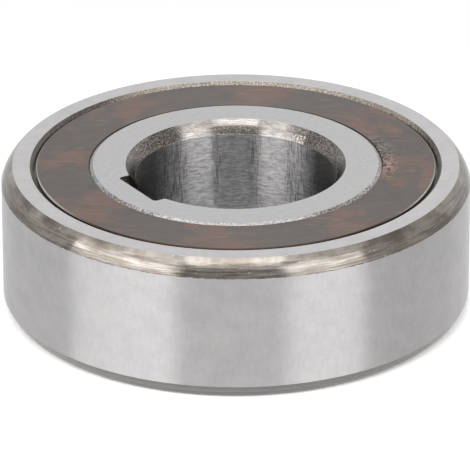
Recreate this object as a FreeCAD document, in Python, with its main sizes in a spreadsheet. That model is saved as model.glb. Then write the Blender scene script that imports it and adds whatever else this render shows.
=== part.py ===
"""One-way sprag clutch built into a ball bearing, with a keyed inner ring and two shields.

Millimetres. +Z runs up along the bore, the origin is the middle of the bottom face, and the
keyway points to -X. Seen from above, the inner ring overruns anticlockwise and locks clockwise.
"""
import FreeCAD, Part
import math
import os
import Sketcher

# Driving sizes, in millimetres, or degrees and counts where the name says so

SIZES = {
    "width": 11.0,
    "bore_diameter": 15.0,
    "inner_wall": 2.262,
    "outer_wall": 1.762,
    "ball_count": 6,
    "ball_diameter": 5.953,
    "ball_clearance": 0.0115,
    "groove_conformity": 0.52,
    "inner_shoulder_share": 0.2164,
    "outer_shoulder_share": 0.1996,
    "bore_chamfer_width": 0.72,
    "bore_chamfer_height": 1.0,
    "bore_chamfer_curve_radius": 5.0,
    "top_rim_chamfer_width": 0.84,
    "top_rim_chamfer_height": 1.28,
    "bottom_rim_chamfer_width": 0.7,
    "bottom_rim_chamfer_height": 1.04,
    "rim_chamfer_curve_radius": 2.9,
    "land_chamfer": 0.15,
    "keyway_width": 5.0,
    "keyway_depth": 1.25,
    "keyway_corner_radius": 0.3,
    "shield_recess": 0.1,
    "shield_thickness": 0.5,
    "shield_side_gap": 0.3,
    "shield_rim_gap": 0.2,
    "shield_edge_break": 0.08,
    "seat_step": 0.15,
    "seat_chamfer_width": 0.25,
    "seat_chamfer_height": 0.18,
    "mouth_step": 0.55,
    "mouth_chamfer": 0.26,
    "cage_side_gap": 0.3,
    "cage_rim_thickness": 0.4,
    "cage_inner_gap_share": 0.2714,
    "cage_outer_gap": 0.75,
    "rim_inner_gap": 0.65,
    "rim_outer_gap": 0.25,
    "pocket_clearance": 0.08,
    "pocket_mouth_share": 0.86,
    "cage_web": 0.4,
    "sprag_width": 2.1,
    "sprag_flank_radius": 3.0,
    "sprag_inner_cam_radius": 1.4,
    "sprag_outer_cam_radius": 1.6,
    "sprag_lean_degrees": 0.5,
    "sprag_race_gap": 0.02,
    "sprag_window_gap": 0.2,
    "sprag_end_play": 0.05,
    "spring_coil_diameter": 0.5,
    "spring_cage_gap": 0.05,
    "spring_end_gap": 0.07,
    "spring_notch_depth": 0.35,
    "rivet_diameter": 0.6,
    "rivet_grip": 1.6,
    "rivet_head_diameter": 0.95,
    "rivet_head_height": 0.12,
}

# Sizes worked out from the driving ones; each line uses only what stands above it

WORKED = {
    # radii of the two rings, from the bore out
    "bore_radius": "Sizes.bore_diameter / 2",
    "ball_radius": "Sizes.ball_diameter / 2",
    "groove_radius": "Sizes.groove_conformity * Sizes.ball_diameter",
    "inner_floor": "bore_radius + Sizes.inner_wall",
    "pitch_radius": "inner_floor + Sizes.ball_clearance + ball_radius",
    "outer_floor": "pitch_radius + ball_radius + Sizes.ball_clearance",
    "outside_radius": "outer_floor + Sizes.outer_wall",
    "inner_shoulder": "Sizes.inner_shoulder_share * Sizes.ball_diameter",
    "outer_shoulder": "Sizes.outer_shoulder_share * Sizes.ball_diameter",
    "inner_land": "inner_floor + inner_shoulder",
    "outer_land": "outer_floor - outer_shoulder",
    "seat_radius": "inner_land - Sizes.seat_step",
    "mouth_radius": "outer_land + Sizes.mouth_step",
    "shield_rim_radius": "mouth_radius - Sizes.shield_rim_gap",
    "keyway_floor": "bore_radius + Sizes.keyway_depth",
    # half the width of each ball groove where it meets its land
    "inner_groove_half": "sqrt(groove_radius ^ 2 - (groove_radius - inner_shoulder) ^ 2)",
    "outer_groove_half": "sqrt(groove_radius ^ 2 - (groove_radius - outer_shoulder) ^ 2)",
    # depths below either end face
    "middle": "Sizes.width / 2",
    "shield_inner_face": "Sizes.shield_recess + Sizes.shield_thickness",
    "mouth_depth": "shield_inner_face + Sizes.shield_side_gap",
    "cage_end": "shield_inner_face + Sizes.cage_side_gap",
    "cage_rim_face": "cage_end + Sizes.cage_rim_thickness",
    "sprag_start": "cage_rim_face + Sizes.sprag_end_play",
    "sprag_length": "Sizes.width - 2 * sprag_start",
    # cage
    "cage_inner_radius": "inner_land + Sizes.cage_inner_gap_share * (outer_land - inner_land)",
    "cage_outer_radius": "outer_land - Sizes.cage_outer_gap",
    "cage_middle_radius": "(cage_inner_radius + cage_outer_radius) / 2",
    "rim_inner_radius": "inner_land + Sizes.rim_inner_gap",
    "rim_outer_radius": "outer_land - Sizes.rim_outer_gap",
    "pocket_radius": "ball_radius + Sizes.pocket_clearance",
    "mouth_half": "ball_radius * Sizes.pocket_mouth_share",
    "mouth_rise": "sqrt(pocket_radius ^ 2 - mouth_half ^ 2)",
    "window_half": "Sizes.sprag_width / 2 + Sizes.sprag_window_gap",
    "window_reach": "sqrt(cage_inner_radius ^ 2 + window_half ^ 2)",
    "window_turn": "atan(window_half / cage_inner_radius) + asin(Sizes.cage_web / 2 / window_reach)",
    "half_sector": "180 deg / Sizes.ball_count",
    "window_edge": "half_sector - window_turn - asin(window_half / cage_middle_radius)",
    "post_turn": "(window_edge + asin(mouth_half / cage_middle_radius)) / 2",
    # sprag section, across and along its radius, from the point about which it tilts
    "pivot_radius": "(inner_land + outer_land) / 2",
    "sprag_half": "Sizes.sprag_width / 2",
    "inner_cam_reach": "inner_land + Sizes.sprag_race_gap + Sizes.sprag_inner_cam_radius",
    "outer_cam_reach": "outer_land - Sizes.sprag_race_gap - Sizes.sprag_outer_cam_radius",
    "lean": "Sizes.sprag_lean_degrees * 1 deg",
    "inner_cam_along": "inner_cam_reach * cos(lean) - pivot_radius",
    "outer_cam_along": "outer_cam_reach * cos(lean) - pivot_radius",
    "inner_cam_across": "inner_cam_reach * sin(lean)",
    "outer_cam_across": "-outer_cam_reach * sin(lean)",
    # garter springs
    "spring_coil_radius": "Sizes.spring_coil_diameter / 2",
    "spring_radius": "cage_outer_radius + Sizes.spring_cage_gap + spring_coil_radius",
    "spring_depth": "sprag_start + spring_coil_radius",
    "notch_length": "Sizes.spring_coil_diameter + Sizes.spring_end_gap",
    "notch_floor": "spring_radius - spring_coil_radius - Sizes.spring_notch_depth",
}

UP = FreeCAD.Vector(0, 0, 1)

# Point numbers of a sketch's lines and curves
START, END, CENTRE = 1, 2, 3
ORIGIN = (-1, START)
doc = FreeCAD.newDocument("sprag_clutch")


def fill_sheet(label, cells, lead=""):
    """A sheet with a name, a value and an alias in each row."""
    sheet = doc.addObject("Spreadsheet::Sheet", label)
    for row, (name, content) in enumerate(cells.items(), start=1):
        sheet.set(f"A{row}", name)
        sheet.set(f"B{row}", f"{lead}{content}")
        sheet.setAlias(f"B{row}", name)
    doc.recompute()
    return sheet


sizes = fill_sheet("Sizes", SIZES)
worked = fill_sheet("Worked", WORKED, lead="=")


def number(expression):
    """The present number of an expression over the two sheets."""
    result = worked.evalExpression(expression)
    return float(getattr(result, "Value", result))


def origin_part(body, role):
    """One of the planes or axes of a body's own origin."""
    return next(part for part in body.Origin.OriginFeatures if part.Role == role)


def new_body(label):
    body = doc.addObject("PartDesign::Body", label)
    body.Label = label
    return body


def new_sketch(body, name, plane, height="0", turn="0 deg"):
    """A sketch on a plane of the body, shifted along its normal and turned about it."""
    sketch = body.newObject("Sketcher::SketchObject", f"{body.Label}_{name}")
    sketch.AttachmentSupport = [(origin_part(body, plane), "")]
    sketch.MapMode = "FlatFace"
    shift = FreeCAD.Vector(0, 0, number(height))
    sketch.AttachmentOffset = FreeCAD.Placement(shift, FreeCAD.Rotation(UP, number(turn)))
    return sketch


def bind(sketch, constraint, expression):
    """Adds a constraint whose size follows the sheets."""
    index = sketch.addConstraint(constraint)
    sketch.setExpression(f"Constraints[{index}]", expression)


def arc_between(start, end, radius, side, is_long):
    """The arc from start to end. side 1 has its centre to the left of the way, -1 to the right."""
    chord = end - start
    rise = math.sqrt(radius ** 2 - (chord.Length / 2) ** 2)
    across = FreeCAD.Vector(-chord.y, chord.x, 0).normalize()
    centre = (start + end) / 2 + across * rise * (-side if is_long else side)
    first, last = (start, end) if side > 0 else (end, start)
    angles = [math.atan2(point.y - centre.y, point.x - centre.x) for point in (first, last)]
    return Part.ArcOfCircle(Part.Circle(centre, UP, radius), *angles)


def outline(sketch, corners, arcs=None):
    """A closed line through the corners, each a pair of expressions.

    arcs gives, for a corner's index, (radius, side) or (radius, side, "long") of the arc that
    runs from it to the next corner. All other stretches are straight.
    """
    arcs = arcs or {}
    points = [FreeCAD.Vector(number(across), number(up), 0) for across, up in corners]
    ends = []
    for index, start in enumerate(points):
        end = points[(index + 1) % len(points)]
        if index in arcs:
            radius, side, *extent = arcs[index]
            geometry = arc_between(start, end, number(radius), side, bool(extent))
        else:
            side = 1
            geometry = Part.LineSegment(start, end)
        edge = sketch.addGeometry(geometry)
        ends.append((edge, START, END) if side > 0 else (edge, END, START))
    for index, (across, up) in enumerate(corners):
        edge, first, last = ends[index]
        follower, follower_first, _ = ends[(index + 1) % len(ends)]
        sketch.addConstraint(Sketcher.Constraint("Coincident", edge, last, follower, follower_first))
        for direction, size, place in (("DistanceX", across, points[index].x),
                                       ("DistanceY", up, points[index].y)):
            bind(sketch, Sketcher.Constraint(direction, *ORIGIN, edge, first, place), size)
        if index in arcs:
            radius = arcs[index][0]
            bind(sketch, Sketcher.Constraint("Radius", edge, number(radius)), radius)
    return sketch


def circles(sketch, centres, radius):
    """Circles of one radius about centres given as pairs of expressions."""
    for across, up in centres:
        centre = FreeCAD.Vector(number(across), number(up), 0)
        edge = sketch.addGeometry(Part.Circle(centre, UP, number(radius)))
        for direction, size, place in (("DistanceX", across, centre.x), ("DistanceY", up, centre.y)):
            bind(sketch, Sketcher.Constraint(direction, *ORIGIN, edge, CENTRE, place), size)
        bind(sketch, Sketcher.Constraint("Radius", edge, number(radius)), radius)
    return sketch


def turned(body, sketch):
    """A full revolution of a half section about the bore's axis."""
    feature = body.newObject("PartDesign::Revolution", f"{body.Label}_turned")
    feature.Profile = sketch
    feature.ReferenceAxis = (sketch, ["V_Axis"])
    feature.Angle = 360
    doc.recompute()
    return feature


def pocket(body, sketch, length=None, reverse=False, both_ways=False):
    """A cut through everything, or of a stated length, that has to take material away."""
    before = body.Shape.Volume
    feature = body.newObject("PartDesign::Pocket", f"{sketch.Name}_cut")
    feature.Profile = sketch
    feature.Reversed = reverse
    if both_ways:
        feature.SideType = "Symmetric"
    if length is None:
        feature.Type = "ThroughAll"
    else:
        feature.Type = "Length"
        feature.setExpression("Length", length)
    doc.recompute()
    if body.Shape.Volume >= before:
        raise RuntimeError(f"{feature.Name} takes nothing away")
    return feature


def around(body, features, count):
    """Repeats features round the bore's axis."""
    pattern = body.newObject("PartDesign::PolarPattern", f"{body.Label}_pattern")
    pattern.Originals = features
    pattern.Axis = (origin_part(body, "Z_Axis"), [""])
    pattern.Angle = 360
    pattern.setExpression("Occurrences", count)
    body.Tip = pattern
    doc.recompute()
    return pattern


def from_top(depth):
    """The height of something that lies a stated depth below the top face."""
    return f"Sizes.width - ({depth})"


def make_outer_ring():
    """Ground ring with a ball groove between two lands, and a mouth for each shield."""
    body = new_body("outer_ring")
    rim = "Worked.outside_radius"
    top_edge = "Worked.outside_radius - Sizes.top_rim_chamfer_width"
    bottom_edge = "Worked.outside_radius - Sizes.bottom_rim_chamfer_width"
    mouth, mouth_edge = "Worked.mouth_radius", "Worked.mouth_radius + Sizes.mouth_chamfer"
    land, land_edge = "Worked.outer_land", "Worked.outer_land + Sizes.land_chamfer"
    land_start = "Worked.mouth_depth + Sizes.land_chamfer"
    corners = [
        (rim, "Sizes.bottom_rim_chamfer_height"),
        (rim, from_top("Sizes.top_rim_chamfer_height")),
        (top_edge, from_top("0")),
        (mouth_edge, from_top("0")),
        (mouth, from_top("Sizes.mouth_chamfer")),
        (mouth, from_top("Worked.mouth_depth")),
        (land_edge, from_top("Worked.mouth_depth")),
        (land, from_top(land_start)),
        (land, "Worked.middle + Worked.outer_groove_half"),
        (land, "Worked.middle - Worked.outer_groove_half"),
        (land, land_start),
        (land_edge, "Worked.mouth_depth"),
        (mouth, "Worked.mouth_depth"),
        (mouth, "Sizes.mouth_chamfer"),
        (mouth_edge, "0"),
        (bottom_edge, "0"),
    ]
    arcs = {
        1: ("Sizes.rim_chamfer_curve_radius", 1),
        8: ("Worked.groove_radius", -1),
        15: ("Sizes.rim_chamfer_curve_radius", 1),
    }
    turned(body, outline(new_sketch(body, "section", "XZ_Plane"), corners, arcs))
    return body


def make_inner_ring():
    """Ring with a ball groove, a seat for each shield, and a keyway along its bore."""
    body = new_body("inner_ring")
    bore, face_start = "Worked.bore_radius", "Worked.bore_radius + Sizes.bore_chamfer_width"
    seat, face_end = "Worked.seat_radius", "Worked.seat_radius - Sizes.seat_chamfer_width"
    land = "Worked.inner_land"
    corners = [
        (bore, from_top("Sizes.bore_chamfer_height")),
        (bore, "Sizes.bore_chamfer_height"),
        (face_start, "0"),
        (face_end, "0"),
        (seat, "Sizes.seat_chamfer_height"),
        (seat, "Worked.shield_inner_face"),
        (land, "Worked.shield_inner_face"),
        (land, "Worked.middle - Worked.inner_groove_half"),
        (land, "Worked.middle + Worked.inner_groove_half"),
        (land, from_top("Worked.shield_inner_face")),
        (seat, from_top("Worked.shield_inner_face")),
        (seat, from_top("Sizes.seat_chamfer_height")),
        (face_end, from_top("0")),
        (face_start, from_top("0")),
    ]
    arcs = {
        1: ("Sizes.bore_chamfer_curve_radius", 1),
        7: ("Worked.groove_radius", -1),
        13: ("Sizes.bore_chamfer_curve_radius", 1),
    }
    turned(body, outline(new_sketch(body, "section", "XZ_Plane"), corners, arcs))

    side, radius = "Sizes.keyway_width / 2", "Sizes.keyway_corner_radius"
    floor = "-Worked.keyway_floor"
    slot = [
        ("0", side),
        (f"{floor} + {radius}", side),
        (floor, f"{side} - {radius}"),
        (floor, f"{radius} - {side}"),
        (f"{floor} + {radius}", f"-{side}"),
        ("0", f"-{side}"),
    ]
    rounds = {1: (radius, 1), 3: (radius, 1)}
    pocket(body, outline(new_sketch(body, "keyway", "XY_Plane"), slot, rounds), reverse=True)
    return body


def make_shield(label, is_upper):
    """Flat ring pressed on the inner ring against its shoulder, clear of the outer ring."""
    body = new_body(label)
    level = from_top if is_upper else str
    inner, outer = "Worked.seat_radius", "Worked.shield_rim_radius"
    outside, inside = "Sizes.shield_recess", "Worked.shield_inner_face"
    broken = "Sizes.shield_edge_break"
    corners = [
        (inner, level(inside)),
        (outer, level(inside)),
        (outer, level(f"{outside} + {broken}")),
        (f"{outer} - {broken}", level(outside)),
        (f"{inner} + {broken}", level(outside)),
        (inner, level(f"{outside} + {broken}")),
    ]
    turned(body, outline(new_sketch(body, "section", "XZ_Plane"), corners))
    return body


def rivet_centres():
    """Places of the two rivets beside the ball pocket that points to +X."""
    across = "Worked.cage_middle_radius * cos(Worked.post_turn)"
    up = "Worked.cage_middle_radius * sin(Worked.post_turn)"
    return [(across, up), (across, f"-{up}")]


def make_cage_body():
    """Open-topped cage: a rim, with posts between snap-in ball pockets and sprag windows."""
    body = new_body("cage_body")
    start, rim_face = "Worked.cage_end", "Worked.cage_rim_face"
    top = from_top(rim_face)
    corners = [
        ("Worked.rim_inner_radius", start),
        ("Worked.rim_outer_radius", start),
        ("Worked.rim_outer_radius", rim_face),
        ("Worked.cage_outer_radius", rim_face),
        ("Worked.cage_outer_radius", top),
        ("Worked.cage_inner_radius", top),
        ("Worked.cage_inner_radius", rim_face),
        ("Worked.rim_inner_radius", rim_face),
    ]
    turned(body, outline(new_sketch(body, "section", "XZ_Plane"), corners))

    mouth_start = "Worked.middle + Worked.mouth_rise"
    keyhole = [
        ("-Worked.mouth_half", mouth_start),
        ("Worked.mouth_half", mouth_start),
        ("Worked.mouth_half", "Sizes.width"),
        ("-Worked.mouth_half", "Sizes.width"),
    ]
    pocket_sketch = new_sketch(body, "ball_pocket", "YZ_Plane")
    outline(pocket_sketch, keyhole, {0: ("Worked.pocket_radius", 1, "long")})
    cuts = [pocket(body, pocket_sketch, reverse=True)]

    window = [
        ("Worked.rim_inner_radius", "-Worked.window_half"),
        ("Worked.rim_outer_radius", "-Worked.window_half"),
        ("Worked.rim_outer_radius", "Worked.window_half"),
        ("Worked.rim_inner_radius", "Worked.window_half"),
    ]
    for side, name in ((-1, "first_window"), (1, "second_window")):
        turn = f"Worked.half_sector + {side} * Worked.window_turn"
        sketch = new_sketch(body, name, "XY_Plane", height=rim_face, turn=turn)
        cuts.append(pocket(body, outline(sketch, window), reverse=True))

    holes = new_sketch(body, "rivet_holes", "XY_Plane", height=top)
    circles(holes, rivet_centres(), "Sizes.rivet_diameter / 2")
    cuts.append(pocket(body, holes, length="Sizes.rivet_grip"))
    around(body, cuts, "Sizes.ball_count")
    return body


def make_cage_cover():
    """Flat ring that closes the open ends of the pockets and windows."""
    body = new_body("cage_cover")
    low, high = from_top("Worked.cage_rim_face"), from_top("Worked.cage_end")
    corners = [
        ("Worked.rim_inner_radius", low),
        ("Worked.rim_outer_radius", low),
        ("Worked.rim_outer_radius", high),
        ("Worked.rim_inner_radius", high),
    ]
    turned(body, outline(new_sketch(body, "section", "XZ_Plane"), corners))
    holes = new_sketch(body, "rivet_holes", "XY_Plane")
    circles(holes, rivet_centres(), "Sizes.rivet_diameter / 2")
    around(body, [pocket(body, holes, reverse=True)], "Sizes.ball_count")
    return body


def make_rivets():
    """One staked rivet on each post beside a ball, as a group of separate solids."""
    group = doc.addObject("Part::Compound", "cage_rivets")
    group.Label = "cage_rivets"
    rivets = []
    for index in range(int(sizes.ball_count)):
        for side in (-1, 1):
            name = f"rivet_{len(rivets) + 1}"
            shank = doc.addObject("Part::Cylinder", f"{name}_shank")
            shank.setExpression("Radius", "Sizes.rivet_diameter / 2")
            shank.setExpression("Height", "Sizes.rivet_grip + Sizes.cage_rim_thickness")
            head = doc.addObject("Part::Cone", f"{name}_head")
            head.setExpression("Radius1", "Sizes.rivet_head_diameter / 2")
            head.setExpression("Radius2", "Sizes.rivet_diameter / 2")
            head.setExpression("Height", "Sizes.rivet_head_height")
            head.setExpression("Placement.Base.z", "Sizes.rivet_grip + Sizes.cage_rim_thickness")
            rivet = doc.addObject("Part::Fuse", name)
            rivet.Base, rivet.Tool = shank, head
            turn = FreeCAD.Rotation(UP, (2 * index) * number("Worked.half_sector")
                                    + side * number("Worked.post_turn"))
            foot = from_top("Worked.cage_rim_face + Sizes.rivet_grip")
            place = FreeCAD.Vector(number("Worked.cage_middle_radius"), 0, number(foot))
            rivet.Placement = FreeCAD.Placement(turn.multVec(place), turn)
            rivets.append(rivet)
    group.Links = rivets
    doc.recompute()
    return group


def make_spring(label, is_upper):
    """Closed coil spring that lies in the end notches of the sprags, as a plain ring."""
    ring = doc.addObject("Part::Torus", label)
    ring.Label = label
    ring.setExpression("Radius1", "Worked.spring_radius")
    ring.setExpression("Radius2", "Worked.spring_coil_radius")
    level = from_top if is_upper else str
    ring.setExpression("Placement.Base.z", level("Worked.spring_depth"))
    return ring


def make_ball(index):
    ball = doc.addObject("Part::Sphere", f"ball_{index + 1}")
    ball.Label = f"ball_{index + 1}"
    ball.setExpression("Radius", "Worked.ball_radius")
    turn = FreeCAD.Rotation(UP, 2 * index * number("Worked.half_sector"))
    place = FreeCAD.Vector(number("Worked.pitch_radius"), 0, number("Worked.middle"))
    ball.Placement = FreeCAD.Placement(turn.multVec(place), turn)
    return ball


def cam_end(cam, side, sign):
    """How far along the sprag's radius a cam ends, at either side of the sprag."""
    drop = f"({side} * Worked.sprag_half - Worked.{cam}_cam_across)"
    chord = f"sqrt(Sizes.sprag_{cam}_cam_radius ^ 2 - {drop} ^ 2)"
    return f"Worked.{cam}_cam_along + {sign} * {chord}"


def make_sprag(index):
    """Waisted strut between two cams, with a notch for a garter spring at each end.

    Its inner cam lies anticlockwise of its outer one, so the inner ring frees it when it turns
    anticlockwise and wedges it when it turns back.
    """
    body = new_body(f"sprag_{index + 1}")
    half = "Worked.sprag_half"
    section = [
        (cam_end("outer", -1, 1), f"-{half}"),
        (cam_end("outer", 1, 1), half),
        (cam_end("inner", 1, -1), half),
        (cam_end("inner", -1, -1), f"-{half}"),
    ]
    arcs = {
        0: ("Sizes.sprag_outer_cam_radius", 1),
        1: ("Sizes.sprag_flank_radius", -1),
        2: ("Sizes.sprag_inner_cam_radius", 1),
        3: ("Sizes.sprag_flank_radius", -1),
    }
    pad = body.newObject("PartDesign::Pad", f"{body.Label}_pad")
    pad.Profile = outline(new_sketch(body, "section", "XY_Plane"), section, arcs)
    pad.setExpression("Length", "Worked.sprag_length")
    doc.recompute()

    floor = "Worked.notch_floor - Worked.pivot_radius"
    beyond = "Worked.outer_land - Worked.pivot_radius + Sizes.sprag_width"
    reach = "Worked.notch_length"
    for name, end in (("bottom_notch", "0"), ("top_notch", "Worked.sprag_length")):
        notch = [
            (floor, f"{end} - {reach}"),
            (beyond, f"{end} - {reach}"),
            (beyond, f"{end} + {reach}"),
            (floor, f"{end} + {reach}"),
        ]
        pocket(body, outline(new_sketch(body, name, "XZ_Plane"), notch), both_ways=True)

    sector, place = divmod(index, 2)
    side = 1 if place else -1
    angle = number(f"{2 * sector + 1} * Worked.half_sector + {side} * Worked.window_turn")
    turn = FreeCAD.Rotation(UP, angle)
    pivot = FreeCAD.Vector(number("Worked.pivot_radius"), 0, number("Worked.sprag_start"))
    body.Placement = FreeCAD.Placement(turn.multVec(pivot), turn)
    return body


def main():
    ball_count = int(sizes.ball_count)
    pieces = [
        make_outer_ring(),
        make_inner_ring(),
        make_shield("upper_shield", is_upper=True),
        make_shield("lower_shield", is_upper=False),
        make_cage_body(),
        make_cage_cover(),
        make_rivets(),
        make_spring("garter_spring_upper", is_upper=True),
        make_spring("garter_spring_lower", is_upper=False),
    ]
    pieces += [make_ball(index) for index in range(ball_count)]
    pieces += [make_sprag(index) for index in range(2 * ball_count)]
    doc.recompute()

    for item in doc.Objects:
        faults = [state for state in item.State if state in ("Invalid", "Error")]
        if faults:
            raise RuntimeError(f"{item.Name} did not build: {faults}")
    for piece in pieces:
        if piece.Shape.isNull() or not piece.Shape.isValid():
            raise RuntimeError(f"{piece.Label} has no valid shape")
    os.makedirs("parts", exist_ok=True)
    for piece in pieces:
        piece.Shape.exportStep(f"parts/{piece.Label}.step")
        print(f"{piece.Label}: {len(piece.Shape.Solids)} solid, {piece.Shape.Volume:.3f} mm3")


main()
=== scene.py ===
"""Looks of a shielded one-way sprag clutch: finishes, garter spring coils, studio light and camera."""

from math import cos, pi, radians, sin, tan

import bmesh
import bpy
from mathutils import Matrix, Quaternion, Vector


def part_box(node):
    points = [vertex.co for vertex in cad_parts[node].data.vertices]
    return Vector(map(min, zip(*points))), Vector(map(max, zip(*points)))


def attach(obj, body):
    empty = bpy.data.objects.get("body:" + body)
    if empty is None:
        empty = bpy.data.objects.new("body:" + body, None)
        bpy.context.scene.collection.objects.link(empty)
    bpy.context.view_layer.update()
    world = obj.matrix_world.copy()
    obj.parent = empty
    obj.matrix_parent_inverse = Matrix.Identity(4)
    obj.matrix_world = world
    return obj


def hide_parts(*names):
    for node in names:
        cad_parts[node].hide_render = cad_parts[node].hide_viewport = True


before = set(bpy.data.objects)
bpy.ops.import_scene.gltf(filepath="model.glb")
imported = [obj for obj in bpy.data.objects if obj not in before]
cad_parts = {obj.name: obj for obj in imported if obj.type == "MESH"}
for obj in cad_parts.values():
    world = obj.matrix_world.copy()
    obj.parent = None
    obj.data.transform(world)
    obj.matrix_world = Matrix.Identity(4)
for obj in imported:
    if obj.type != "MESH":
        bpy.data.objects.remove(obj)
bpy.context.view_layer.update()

# Units in metres
MM = 0.001
MICROMETRE = MM / 1000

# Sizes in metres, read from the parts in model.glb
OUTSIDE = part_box("outer_ring")[1].x
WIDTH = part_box("outer_ring")[1].z
SHIELD_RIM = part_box("upper_shield")[1].x

# Sizes in millimetres, as the finishes use them: radii from the axis and heights from the bottom
OUTER_RADIUS = OUTSIDE / MM
HEIGHT = WIDTH / MM
MID_HEIGHT = HEIGHT / 2
WALL_BOTTOM, WALL_TOP = 1.04, HEIGHT - 1.28
OUTER_FACE_MIDDLE = OUTER_RADIUS - 1.5
BORE_RADIUS = 7.5
BORE_CHAMFER_END = BORE_RADIUS + 0.72
INNER_FACE_END = 10.65
SHIELD_RADIUS = SHIELD_RIM / MM

# How far inside the mouths the surfaces beside the shields show
SEEN_DEPTH = 0.6
# How far a facet may lie off the end faces' height and off the bore's radius
FACE_MARGIN, BORE_MARGIN = 0.005, 0.015
# By how much the upper end of the ground wall is ragged
RAGGED = 0.05

# The radii between which the sheet's crumpled place and the painted contact shadow beside the inner ring
# fade out
CRUMPLE_FADE = 11.4, 12.4
CONTACT_SHADOW_FADE = 10.95, 11.03
# The distances from the sheet's edge between which the painted line there fades in
PAINTED_EDGE_LINE_FADE = 0.11, 0.06
# The number of copper-brown patches in one turn of the sheet, and the azimuth of one of them
PATCHES, FIRST_PATCH = 8, -7

# Colours in linear light. A pair is the two ends of a blend.
OUTER_STEEL = (0.350, 0.343, 0.348), (0.383, 0.372, 0.371)
UPPER_CHAMFER = (0.152, 0.138, 0.125), (0.111, 0.097, 0.083)
LOWER_CHAMFER = (0.202, 0.194, 0.186), (0.155, 0.146, 0.139)
MOUTH = (0.110, 0.094, 0.079), (0.330, 0.295, 0.255)
INNER_STEEL = (0.315, 0.311, 0.316), (0.363, 0.357, 0.356)
BORE_CHAMFER = (0.186, 0.174, 0.164), (0.138, 0.127, 0.117)
# a dark colour for grime and for painted shade on the bore chamfers
DIRT_AND_PAINTED_SHADE = (0.045, 0.039, 0.033)
# the honed bore wall, and the colour of its marks, which paints dark reflections
HONED, HONED_MARK_AND_PAINTED_REFLECTION = (0.335, 0.330, 0.330), (0.140, 0.138, 0.136)
KEYWAY = (0.050, 0.042, 0.034), (0.360, 0.310, 0.255)
SPARKLE = (0.420, 0.400, 0.380)
SHADOW_FAR, SHADOW_NEAR = (0.090, 0.084, 0.078), (0.200, 0.190, 0.180)
SHEET, PATCH = (0.093, 0.083, 0.077), (0.138, 0.092, 0.077)
# the sheet's outer edge: a painted highlight on the far side, a painted shadow toward the camera
EDGE_PAINTED_HIGHLIGHT, EDGE_PAINTED_SHADOW = (0.300, 0.280, 0.265), (0.035, 0.022, 0.016)
# a painted contact shadow on the sheet beside the inner ring
PAINTED_CONTACT_SHADOW = (0.020, 0.017, 0.015)
PAPER = (0.92, 0.92, 0.92, 1)
WHITE = (1, 1, 1, 1)

# Steel of the inner pieces: two colours, roughness, grains per millimetre, relief in micrometres
INNER_PIECES = {
    "cage_steel": ((0.40, 0.39, 0.37), (0.48, 0.47, 0.45), 0.38, 6, 3.0),
    "rivet_steel": ((0.30, 0.29, 0.28), (0.40, 0.39, 0.37), 0.34, 9, 3.0),
    "spring_steel": ((0.26, 0.25, 0.24), (0.36, 0.35, 0.33), 0.30, 12, 1.0),
    "ball_steel": ((0.54, 0.54, 0.55), (0.60, 0.60, 0.60), 0.12, 5, 0.3),
    "sprag_steel": ((0.36, 0.36, 0.37), (0.46, 0.46, 0.46), 0.27, 8, 1.5),
}

# Coil springs: windings, points per winding, sides of the wire and its radius
WINDINGS, STEPS, WIRE_SIDES = 400, 10, 6
WIRE_RADIUS = 0.06 * MM

# The photographer's camera, with its angles in degrees. Azimuth 0 looks along +Y.
CAMERA_AZIMUTH = -32.93
CAMERA_ELEVATION = 24.925
CAMERA_ROLL = -0.135
CAMERA_DISTANCE = 417.9 * MM
CAMERA_LENS = 426.96
CAMERA_SHIFT = -0.00198, -0.01125
CAMERA_CLIP = 0.01, 10
MIDDLE = Vector((0, 0, WIDTH / 2))

# What white surroundings give to diffuse surfaces; mirrors and the camera see them at 1
AMBIENT = 0.42

# How far the softboxes stand from the object, in metres
LAMP_DISTANCE = 0.3
# The spans of azimuth and elevation that each softbox fills, in degrees, and its brightness
SOFTBOXES = {
    "left_low": ((-82, -30), (3, 22), 1.7),
    "left_middle": ((-82, -30), (19, 36), 7.3),
    "left_high": ((-62, -36), (40, 59), 2.6),
    "right_low": ((26, 62), (3, 22), 2.8),
    "right_middle": ((26, 62), (22, 40), 5.5),
    "right_high": ((38, 64), (44, 60), 2.0),
    "front_high": ((-18, 17), (47, 67), 6.2),
    "overhead": ((-45, 45), (69, 88), 1.4),
    "back_left": ((-168, -118), (3, 45), 0.5),
    "back_right": ((118, 168), (3, 45), 0.75),
    "back": ((168, 192), (3, 50), 0.3),
    "far_left": ((-118, -86), (3, 45), 0.7),
    "far_right": ((64, 116), (3, 45), 0.3),
}

# The floor lies just below the object and reaches far beyond it
FLOOR_RADIUS, FLOOR_SIDES = 0.9, 96
FLOOR_DROP = 0.02 * MM
# The floor's share of plain white near the object, and the radii over which it rises to 1
FLOOR_WHITE = 0.65
FLOOR_FADE = 16.0, 60.0
# Rays shorter than this pass between the object and the floor
NARROW_GAP = 0.5 * MM


def around(azimuth, elevation):
    """The direction at an azimuth to the right of the camera, seen from the object, and an elevation."""
    turn = radians(CAMERA_AZIMUTH - 90 + azimuth)
    rise = radians(elevation)
    return Vector((cos(turn) * cos(rise), sin(turn) * cos(rise), sin(rise)))


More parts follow.
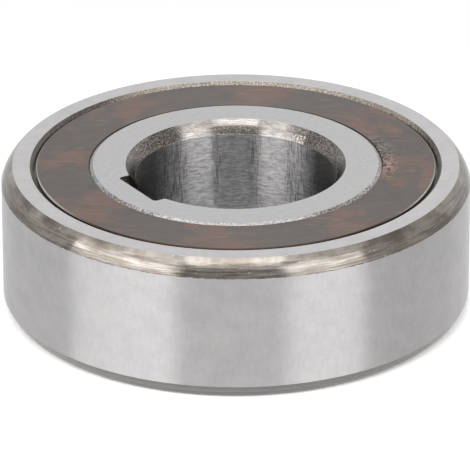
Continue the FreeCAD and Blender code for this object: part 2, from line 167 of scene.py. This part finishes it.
class Graph:
    """Adds nodes to a material or a world. A value is a number, a tuple or another node's output."""

    def __init__(self, owner):
        owner.use_nodes = True
        self.tree = owner.node_tree
        self.tree.nodes.clear()

    def add(self, kind, values=None, **settings):
        node = self.tree.nodes.new("ShaderNode" + kind)
        for name, setting in settings.items():
            setattr(node, name, setting)
        for socket, value in (values or {}).items():
            self.put(node.inputs[socket], value)
        return node

    def put(self, socket, value):
        if isinstance(value, bpy.types.NodeSocket):
            self.tree.links.new(value, socket)
        else:
            socket.default_value = value

    def math(self, operation, *values):
        return self.add("Math", dict(enumerate(values)), operation=operation).outputs[0]

    def product(self, first, *others):
        for other in others:
            first = self.math("MULTIPLY", first, other)
        return first

    def total(self, first, *others):
        for other in others:
            first = self.math("ADD", first, other)
        return first

    def either(self, first, *others):
        """The largest of some values."""
        for other in others:
            first = self.math("MAXIMUM", first, other)
        return first

    def invert(self, value):
        return self.math("SUBTRACT", 1.0, value)

    def above(self, value, limit):
        return self.math("GREATER_THAN", value, limit)

    def vector(self, operation, *vectors):
        """The outputs of a vector node: Vector, and Value for lengths and dot products."""
        return self.add("VectorMath", dict(enumerate(vectors)), operation=operation).outputs

    def scaled(self, vector, amount):
        """A vector times a number. A colour gets darker or lighter by it."""
        return self.add("VectorMath", {0: vector, "Scale": amount}, operation="SCALE").outputs["Vector"]

    def mix(self, share, low, high):
        """A number between low and high."""
        return self.add("Mix", {0: share, 2: low, 3: high}).outputs[0]

    def blend(self, share, first, second):
        """A colour between two colours."""
        colours = [value if isinstance(value, bpy.types.NodeSocket) else (*value, 1.0)
                   for value in (first, second)]
        node = self.add("Mix", {0: share, 6: colours[0], 7: colours[1]}, data_type="RGBA")
        return node.outputs[2]

    def ramp(self, value, start, end, low=0.0, high=1.0):
        """Low up to start, high from end on, with a smooth rise between."""
        values = {0: value, 1: start, 2: end, 3: low, 4: high}
        return self.add("MapRange", values, interpolation_type="SMOOTHSTEP").outputs[0]

    def spread(self, noise, low=0.0, high=1.0):
        """A number between low and high from a noise, whose values mostly lie between 0.3 and 0.7."""
        return self.ramp(noise, 0.3, 0.7, low, high)

    def band(self, value, low, high, soft):
        """1 between two limits, with soft edges."""
        rise = self.ramp(value, low - soft, low)
        fall = self.ramp(value, high, high + soft, 1.0, 0.0)
        return self.product(rise, fall)

    def noise(self, place, detail=2.0, rough=0.5, warp=0.0):
        values = {
            "Vector": place,
            "Scale": 1.0,
            "Detail": detail,
            "Roughness": rough,
            "Distortion": warp,
        }
        return self.add("TexNoise", values).outputs[0]


class RingPlace:
    """Where a point lies on a ring about Z, in millimetres, and coordinates for noise on it."""

    def __init__(self, graph):
        self.graph = graph
        self.place = graph.scaled(graph.add("TexCoord").outputs["Object"], 1 / MM)
        self.x, self.y, self.height = graph.add("SeparateXYZ", {0: self.place}).outputs
        flat = graph.add("CombineXYZ", {0: self.x, 1: self.y}).outputs[0]
        self.radius = graph.vector("LENGTH", flat)["Value"]
        self.outward = graph.vector("NORMALIZE", flat)["Vector"]
        # the distance above or below the middle
        self.level = graph.math("ABSOLUTE", graph.math("SUBTRACT", self.height, MID_HEIGHT))

    def toward(self, azimuth):
        """1 on the side at an azimuth to the right of the camera, -1 on the side opposite it."""
        return self.graph.vector("DOT_PRODUCT", self.outward, around(azimuth, 0))["Value"]

    def toward_or_away(self, azimuth):
        """1 on the side at an azimuth and on the side opposite it, 0 halfway between them."""
        return self.graph.math("ABSOLUTE", self.toward(azimuth))

    def even(self, cells):
        """Coordinates with so many noise cells per millimetre in every direction."""
        return self.graph.scaled(self.place, cells)

    def straight(self, across, along):
        """Coordinates with so many noise cells per millimetre across the camera's view and along it."""
        rotation = (0, 0, radians(-CAMERA_AZIMUTH))
        turned = self.graph.add("Mapping", {"Vector": self.place, "Rotation": rotation}).outputs[0]
        return self.graph.vector("MULTIPLY", turned, (across, along, 1.0))["Vector"]

    def stretched(self, along_turn, along_radius, along_height, shift=0.0):
        """Coordinates with so many noise cells per radian of turn and millimetre of radius or height."""
        graph = self.graph
        turn = graph.scaled(self.outward, along_turn)
        reach = graph.product(self.radius, along_radius)
        rise = graph.total(graph.product(self.height, along_height), reach, shift)
        away = graph.add("CombineXYZ", {2: rise}).outputs[0]
        return graph.vector("ADD", turn, away)["Vector"]

    def on_face(self):
        """1 on the two end faces."""
        return self.graph.above(self.level, MID_HEIGHT - FACE_MARGIN)

    def near_face(self):
        """1 on the end faces and on what shows inside the mouths beside the shields."""
        return self.graph.above(self.level, MID_HEIGHT - SEEN_DEPTH)

    def across_lines(self, face):
        """The direction across the turned lines, or across the straight lines of the end faces."""
        graph = self.graph
        down = graph.add("CombineXYZ", {2: -1.0}).outputs[0]
        meridian = graph.vector("ADD", self.outward, down)["Vector"]
        values = {0: face, 4: meridian, 5: around(90, 0)}
        return graph.add("Mix", values, data_type="VECTOR").outputs[1]


def new_finish(name):
    """A new material, its graph, and the places on it."""
    material = bpy.data.materials.new(name)
    graph = Graph(material)
    return material, graph, RingPlace(graph)


def metal(graph, colour, roughness, relief, stretch=0.0, tangent=None):
    """The metal shader. relief is the height of the surface in micrometres."""
    bump = graph.add("Bump", {"Strength": 1.0, "Distance": MICROMETRE, "Height": relief})
    values = {
        "Base Color": colour,
        "Metallic": 1.0,
        "Roughness": roughness,
        "Normal": bump.outputs[0],
        "Anisotropic": stretch,
    }
    shader = graph.add("BsdfPrincipled", values)
    if tangent is not None:
        graph.put(shader.inputs["Tangent"], tangent)
    graph.add("OutputMaterial", {"Surface": shader.outputs[0]})


def outer_ring_zones(graph, at):
    """Masks of the end faces, of all ground surfaces, of the rim chamfers and of the shield mouths."""
    face = at.on_face()
    outside = graph.above(at.radius, OUTER_FACE_MIDDLE)
    uneven = graph.noise(at.stretched(45, 4, 4, shift=21), detail=3)
    wall_end = graph.spread(uneven, WALL_TOP - RAGGED, WALL_TOP)
    wall = graph.product(graph.above(wall_end, at.height), graph.above(at.height, WALL_BOTTOM), outside)
    ground = graph.either(wall, face)
    rim = graph.product(outside, graph.invert(ground))
    mouth = graph.product(graph.invert(graph.either(ground, rim)), at.near_face())
    return face, ground, rim, mouth


def ground_outer_ring():
    """Ground wall and faces, rough mouths with painted shade, and turned chamfers, brown above with
    specks painted as glints, grey below.
    """
    material, graph, at = new_finish("outer_ring_steel")
    face, ground, rim, mouth = outer_ring_zones(graph, at)

    grinding = graph.noise(at.stretched(26, 9, 9), detail=3, rough=0.6)
    clouds = graph.noise(at.stretched(9, 0.8, 0.7), detail=4, rough=0.6)
    wear = graph.noise(at.stretched(75, 1.2, 1.2, shift=31), detail=3, rough=0.6)
    lines = graph.noise(at.stretched(5, 16, 16), detail=3, rough=0.7)
    grain = graph.noise(at.stretched(130, 10, 10), detail=3, rough=0.6)
    stain = graph.noise(at.stretched(8, 2.2, 2.2, shift=7), detail=4, rough=0.65)
    specks = graph.ramp(graph.noise(at.even(4.5), detail=2), 0.71, 0.76)

    steel = graph.blend(graph.spread(clouds), *OUTER_STEEL)
    steel = graph.scaled(steel, graph.mix(grinding, 0.94, 1.06))
    steel = graph.scaled(steel, graph.spread(wear, 0.965, 1.035))
    brown = graph.blend(graph.ramp(stain, 0.36, 0.66), *UPPER_CHAMFER)
    brown = graph.scaled(brown, graph.spread(lines, 0.6, 1.35))
    # painted glints: the specks are bumps in the relief and also lighten the colour
    brown = graph.scaled(brown, graph.mix(specks, 1.0, 1.9))
    grey = graph.blend(stain, *LOWER_CHAMFER)
    turned = graph.blend(graph.above(at.height, MID_HEIGHT), grey, brown)
    # painted shade: the mouths are darker on both sides of the camera
    rough = graph.blend(graph.ramp(grain, 0.4, 0.62), *MOUTH)
    rough = graph.scaled(rough, graph.ramp(at.toward_or_away(165), 0.5, 0.76, 0.38, 1.0))
    colour = graph.blend(rim, steel, turned)
    colour = graph.blend(mouth, colour, rough)

    roughness = graph.mix(rim, graph.mix(grinding, 0.35, 0.40), graph.mix(lines, 0.12, 0.22))
    roughness = graph.mix(mouth, roughness, 0.4)
    relief = graph.total(
        graph.product(grinding, ground, 1.2),
        graph.product(lines, rim, 7.0),
        graph.product(specks, rim, 8.0),
        graph.product(grain, mouth, 26.0),
    )
    metal(graph, colour, roughness, relief, stretch=1.0, tangent=at.across_lines(face))
    return material


def inner_ring_zones(graph, at):
    """Masks of the end faces, the bore chamfers, the bore wall, the keyway and the outer edges."""
    face = at.on_face()
    off_face = graph.invert(face)
    chamfer_end = BORE_CHAMFER_END + BORE_MARGIN
    inside = graph.product(graph.above(chamfer_end, at.radius), off_face)
    chamfer = graph.product(inside, graph.above(at.radius, BORE_RADIUS + BORE_MARGIN))
    wall = graph.product(inside, graph.invert(chamfer))
    beyond = graph.above(at.radius, INNER_FACE_END)
    keyway = graph.product(graph.above(at.radius, chamfer_end), off_face, graph.invert(beyond))
    rim = graph.product(beyond, off_face, at.near_face())
    return face, chamfer, wall, keyway, rim


def bore_dirt_and_painted_shade(graph, at, in_line, grain):
    """Dark specks low on the bore chamfers in line with the camera, and all over them beside it: grime,
    with painted shade beside the camera.
    """
    low = graph.ramp(at.radius, BORE_RADIUS + 0.3, BORE_RADIUS + 0.45, 1.0, 0.0)
    middle = graph.product(graph.ramp(in_line, 0.955, 0.987), low, graph.ramp(grain, 0.3, 0.5))
    # painted shade all over the chamfers beside the camera
    painted_shade_beside = graph.product(graph.ramp(in_line, 0.78, 0.9, 1.0, 0.0), graph.ramp(grain, 0.38, 0.58))
    return graph.either(painted_shade_beside, middle)


def bore_marks_and_painted_reflections(graph, at, in_line):
    """Dark marks down the bore wall, grooves with painted dark reflections: narrow ones near the
    camera's line, wide ones farther off.
    """
    streaks = graph.noise(at.stretched(60, 1, 0.45, shift=13), detail=3, rough=0.6, warp=1.4)
    fading = graph.ramp(at.height, 3.0, 8.0, 0.2, 0.8)
    narrow = graph.product(graph.band(in_line, 0.972, 0.986, 0.01), fading)
    wide = graph.band(in_line, 0.62, 0.84, 0.05)
    return graph.product(graph.either(wide, narrow), graph.ramp(streaks, 0.46, 0.60))


def ground_inner_ring():
    """Ground faces, turned bore chamfers with grime and painted shade, glittering edges, a bore wall
    with honing, painted shade and painted dark reflections, a dull keyway.
    """
    material, graph, at = new_finish("inner_ring_steel")
    face, chamfer, wall, keyway, rim = inner_ring_zones(graph, at)
    in_line = at.toward_or_away(180)

    grinding = graph.noise(at.stretched(22, 9, 9, shift=3), detail=3, rough=0.6)
    lines = graph.noise(at.stretched(5, 12, 12, shift=3), detail=3, rough=0.65)
    glitter = graph.noise(at.even(8.0), detail=3, rough=0.7)
    honing = graph.noise(at.stretched(13, 1, 7, shift=1), detail=4, rough=0.65, warp=0.6)
    soot = graph.noise(at.stretched(14, 3, 3, shift=11), detail=4, rough=0.65)
    dirt_and_painted_shade = bore_dirt_and_painted_shade(graph, at, in_line, glitter)
    marks = bore_marks_and_painted_reflections(graph, at, in_line)

    steel = graph.blend(graph.spread(grinding), *INNER_STEEL)
    turned = graph.blend(graph.ramp(soot, 0.38, 0.64), *BORE_CHAMFER)
    turned = graph.scaled(turned, graph.spread(lines, 0.68, 1.36))
    turned = graph.blend(dirt_and_painted_shade, turned, DIRT_AND_PAINTED_SHADE)
    shadow = graph.blend(graph.ramp(at.toward(0), 0.75, 0.95), SHADOW_FAR, SHADOW_NEAR)
    sparkling = graph.blend(graph.ramp(glitter, 0.42, 0.6), shadow, SPARKLE)
    # painted shade and painted dark reflections: the bore wall is dark on both sides of the camera, and
    # a little darker in line with it
    # painted dark reflections: the marks darken the colour, as well as being grooves in the relief
    honed_wall_with_painted_shade = graph.blend(marks, HONED, HONED_MARK_AND_PAINTED_REFLECTION)
    honed_wall_with_painted_shade = graph.scaled(honed_wall_with_painted_shade, graph.ramp(in_line, 0.55, 0.82, 0.3, 1.0))
    honed_wall_with_painted_shade = graph.scaled(honed_wall_with_painted_shade, graph.ramp(in_line, 0.97, 0.985, 1.0, 0.7))
    honed_wall_with_painted_shade = graph.scaled(honed_wall_with_painted_shade, graph.ramp(honing, 0.34, 0.66, 0.72, 1.27))
    dull = graph.blend(graph.ramp(glitter, 0.4, 0.6), *KEYWAY)
    colour = graph.blend(chamfer, steel, turned)
    colour = graph.blend(rim, colour, sparkling)
    colour = graph.blend(wall, colour, honed_wall_with_painted_shade)
    colour = graph.blend(keyway, colour, dull)

    roughness = graph.mix(chamfer, graph.mix(grinding, 0.35, 0.42), graph.mix(lines, 0.13, 0.23))
    roughness = graph.mix(wall, roughness, graph.mix(honing, 0.32, 0.39))
    relief = graph.total(
        graph.product(grinding, face, 1.2),
        graph.product(lines, chamfer, 5.0),
        graph.product(honing, wall, 22.0),
        graph.product(marks, wall, -16.0),
        graph.product(glitter, graph.either(rim, keyway), 16.0),
    )
    metal(graph, colour, roughness, relief, stretch=1.0, tangent=at.across_lines(face))
    return material


def shield_patches(graph, at):
    """High at the patches that run across the sheet, with uneven borders."""
    turn = graph.math("ARCTAN2", at.y, at.x)
    first = radians(CAMERA_AZIMUTH - 90 + FIRST_PATCH)
    wave = graph.math("COSINE", graph.math("MULTIPLY_ADD", turn, PATCHES, -PATCHES * first))
    cloudy = graph.noise(at.stretched(5, 0.6, 0.3, shift=2), detail=3, rough=0.55, warp=0.5)
    return graph.total(graph.product(wave, 0.15), cloudy)


def shield_sheet():
    """Grey-green sheet with copper-brown patches, rolling marks, a crumpled place with painted shade,
    painted edge lines and a painted contact shadow.
    """
    material, graph, at = new_finish("shield_metal")
    marks = graph.noise(at.straight(0.7, 10.0), detail=4, rough=0.65)
    scratches = graph.noise(at.straight(0.35, 4.5), detail=1, warp=0.5)
    clouds = graph.noise(at.stretched(9, 0.9, 0.5, shift=9), detail=3)
    waves = graph.noise(at.even(1.6), detail=4, rough=0.6)
    dents = graph.noise(at.even(3.6), detail=3, rough=0.6, warp=0.8)
    # the sheet is crumpled beside the inner ring, to the right of the camera
    crumpled = graph.product(
        graph.ramp(at.toward(95), 0.92, 0.98),
        graph.ramp(at.radius, *CRUMPLE_FADE, 1.0, 0.0),
    )

    patches = graph.ramp(shield_patches(graph, at), 0.44, 0.72)
    colour = graph.blend(patches, SHEET, PATCH)
    colour = graph.scaled(colour, graph.mix(clouds, 0.85, 1.15))
    colour = graph.scaled(colour, graph.spread(marks, 0.9, 1.1))
    colour = graph.scaled(colour, graph.ramp(scratches, 0.66, 0.70, 1.0, 1.35))
    # painted shade and light on the crumpled place: the dents darken and lighten the colour
    painted_crease_shade = graph.product(graph.ramp(dents, 0.4, 0.6, -0.6, 0.9), crumpled)
    colour = graph.scaled(colour, graph.total(painted_crease_shade, 1.0))
    # the outer edge has a painted highlight, a bright line on the far side, and a painted shadow, a dark
    # one toward the camera
    edge = graph.ramp(at.radius, *(SHIELD_RADIUS - distance for distance in PAINTED_EDGE_LINE_FADE))
    edge_painted_light = graph.blend(graph.ramp(at.toward(0), 0.35, 0.75), EDGE_PAINTED_HIGHLIGHT, EDGE_PAINTED_SHADOW)
    colour = graph.blend(edge, colour, edge_painted_light)
    # a painted contact shadow beside the inner ring shows as a dark line on the far side
    contact_shadow = graph.product(
        graph.ramp(at.radius, *CONTACT_SHADOW_FADE, 1.0, 0.0),
        graph.ramp(at.toward(180), -0.3, 0.1),
    )
    colour = graph.blend(contact_shadow, colour, PAINTED_CONTACT_SHADOW)

    relief = graph.total(
        graph.product(marks, 2.5),
        graph.product(waves, 18.0),
        graph.product(dents, crumpled, 130.0),
    )
    metal(graph, colour, graph.mix(marks, 0.42, 0.56), relief, stretch=0.3)
    return material


def plain_metal(name, dark, light, roughness, cells, relief):
    """Steel of an inner piece: a fine grain with soft clouds over it."""
    material, graph, at = new_finish(name)
    grain = graph.noise(at.even(cells), detail=4, rough=0.6)
    clouds = graph.noise(at.even(cells / 9), detail=2)
    colour = graph.scaled(graph.blend(clouds, dark, light), graph.mix(grain, 0.9, 1.1))
    uneven = graph.mix(grain, roughness - 0.05, roughness + 0.05)
    metal(graph, colour, uneven, graph.product(grain, relief))
    return material


FINISHES = {
    "outer_ring_steel": ground_outer_ring(),
    "inner_ring_steel": ground_inner_ring(),
    "shield_metal": shield_sheet(),
    **{name: plain_metal(name, *settings) for name, settings in INNER_PIECES.items()},
}


def dress_nodes():
    """Gives each CAD node the finish of its material slot."""
    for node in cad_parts.values():
        for slot in node.material_slots:
            name = next(key for key in FINISHES if slot.material.name.startswith(key))
            slot.material = FINISHES[name]


def new_object(name, data):
    """Puts an object into the scene."""
    thing = bpy.data.objects.new(name, data)
    bpy.context.scene.collection.objects.link(thing)
    return thing


def mesh_object(name, shape):
    """Puts a finished bmesh into the scene."""
    mesh = bpy.data.meshes.new(name)
    shape.to_mesh(mesh)
    shape.free()
    return new_object(name, mesh)


def coil_spring(node, name):
    """An endless coil of wire, wound inside the plain ring that stands for a garter spring."""
    low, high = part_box(node)
    coil = (high.z - low.z) / 2
    reach, level = high.x - coil, (high.z + low.z) / 2
    angles = [2 * pi * side / WIRE_SIDES for side in range(WIRE_SIDES)]

    # a point of the spring's ring, moved outward and up
    def ring_point(step, out, rise):
        lap = 2 * pi * step / (WINDINGS * STEPS)
        return Vector(((reach + out) * cos(lap), (reach + out) * sin(lap), level + rise))

    def wire_point(step):
        turn = 2 * pi * step / STEPS
        winding = coil - WIRE_RADIUS
        return ring_point(step, winding * cos(turn), winding * sin(turn))

    shape = bmesh.new()
    rings = []
    for step in range(WINDINGS * STEPS):
        here = wire_point(step)
        along = (wire_point(step + 1) - wire_point(step - 1)).normalized()
        outward = here - ring_point(step, 0, 0)
        outward = (outward - along * outward.dot(along)).normalized()
        across = along.cross(outward)
        corners = [here + WIRE_RADIUS * (cos(angle) * outward + sin(angle) * across) for angle in angles]
        rings.append([shape.verts.new(corner) for corner in corners])
    for ring, following in zip(rings, rings[1:] + rings[:1]):
        for side in range(WIRE_SIDES):
            beside = (side + 1) % WIRE_SIDES
            face = shape.faces.new((ring[side], ring[beside], following[beside], following[side]))
            face.smooth = True
    shape.normal_update()
    spring = mesh_object(name, shape)
    spring.data.materials.append(FINISHES["spring_steel"])
    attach(spring, "cage")
    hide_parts(node)


def softbox(name, azimuth, elevation, brightness):
    """A flat lamp aimed at the object. azimuth and elevation are the spans in degrees that it fills."""
    lamp = bpy.data.lights.new(name, "AREA")
    lamp.shape = "RECTANGLE"
    spans = [radians(end - start) for start, end in (azimuth, elevation)]
    lamp.size, lamp.size_y = (2 * LAMP_DISTANCE * tan(span / 2) for span in spans)
    lamp.energy = brightness * pi * lamp.size * lamp.size_y
    holder = new_object(name, lamp)
    way = around(sum(azimuth) / 2, sum(elevation) / 2)
    holder.location = MIDDLE + way * LAMP_DISTANCE
    holder.rotation_euler = (-way).to_track_quat("-Z", "Y").to_euler()
    holder.visible_camera = False


def light_studio():
    """White surroundings, and softboxes that the camera doesn't see."""
    world = bpy.data.worlds.new("studio")
    bpy.context.scene.world = world
    graph = Graph(world)
    path = graph.add("LightPath").outputs
    seen = graph.either(path["Is Camera Ray"], path["Is Glossy Ray"], path["Is Transmission Ray"])
    backdrop = graph.add("Background", {"Color": WHITE, "Strength": graph.mix(seen, AMBIENT, 1.0)})
    graph.add("OutputWorld", {"Surface": backdrop.outputs[0]})
    for name, settings in SOFTBOXES.items():
        softbox(name, *settings)


def floor_surface(graph):
    """Paper that takes shadows near the object, plain white farther off, and clear from below."""
    at = RingPlace(graph)
    path = graph.add("LightPath").outputs
    seen = graph.either(path["Is Camera Ray"], path["Is Glossy Ray"])
    beyond = graph.above(at.radius, OUTER_RADIUS)
    share = graph.product(graph.ramp(at.radius, *FLOOR_FADE, FLOOR_WHITE, 1.0), beyond, seen)
    paper = graph.add("BsdfDiffuse", {"Color": PAPER}).outputs[0]
    white = graph.add("Emission", {"Color": WHITE, "Strength": 1.0}).outputs[0]
    lit = graph.add("MixShader", {0: share, 1: paper, 2: white}).outputs[0]
    # it lets through what is seen from below, and what the underside mirrors over the narrow gap
    below = graph.add("NewGeometry").outputs["Backfacing"]
    short = graph.above(NARROW_GAP, path["Ray Length"])
    clear = graph.add("BsdfTransparent").outputs[0]
    return graph.add("MixShader", {0: graph.either(below, short), 1: lit, 2: clear}).outputs[0]


def make_floor():
    """A pale floor that turns into plain white away from the object and keeps its shadow."""
    shape = bmesh.new()
    bmesh.ops.create_circle(shape, cap_ends=True, radius=FLOOR_RADIUS, segments=FLOOR_SIDES)
    floor = mesh_object("floor", shape)
    floor.location.z = -FLOOR_DROP
    material = bpy.data.materials.new("pale_floor")
    floor.data.materials.append(material)
    graph = Graph(material)
    graph.add("OutputMaterial", {"Surface": floor_surface(graph)})


def place_camera():
    """The photographer's camera."""
    camera = bpy.data.cameras.new("camera")
    camera.lens = CAMERA_LENS
    camera.shift_x, camera.shift_y = CAMERA_SHIFT
    camera.clip_start, camera.clip_end = CAMERA_CLIP
    holder = new_object("camera", camera)
    back = around(0, CAMERA_ELEVATION)
    holder.location = MIDDLE + back * CAMERA_DISTANCE
    level = (-back).to_track_quat("-Z", "Y")
    holder.rotation_euler = (level @ Quaternion((0, 0, 1), radians(CAMERA_ROLL))).to_euler()
    bpy.context.scene.camera = holder


dress_nodes()
coil_spring("garter_spring_upper", "garter_coil_upper")
coil_spring("garter_spring_lower", "garter_coil_lower")
light_studio()
make_floor()
place_camera()
bpy.context.scene.view_settings.view_transform = "Standard"
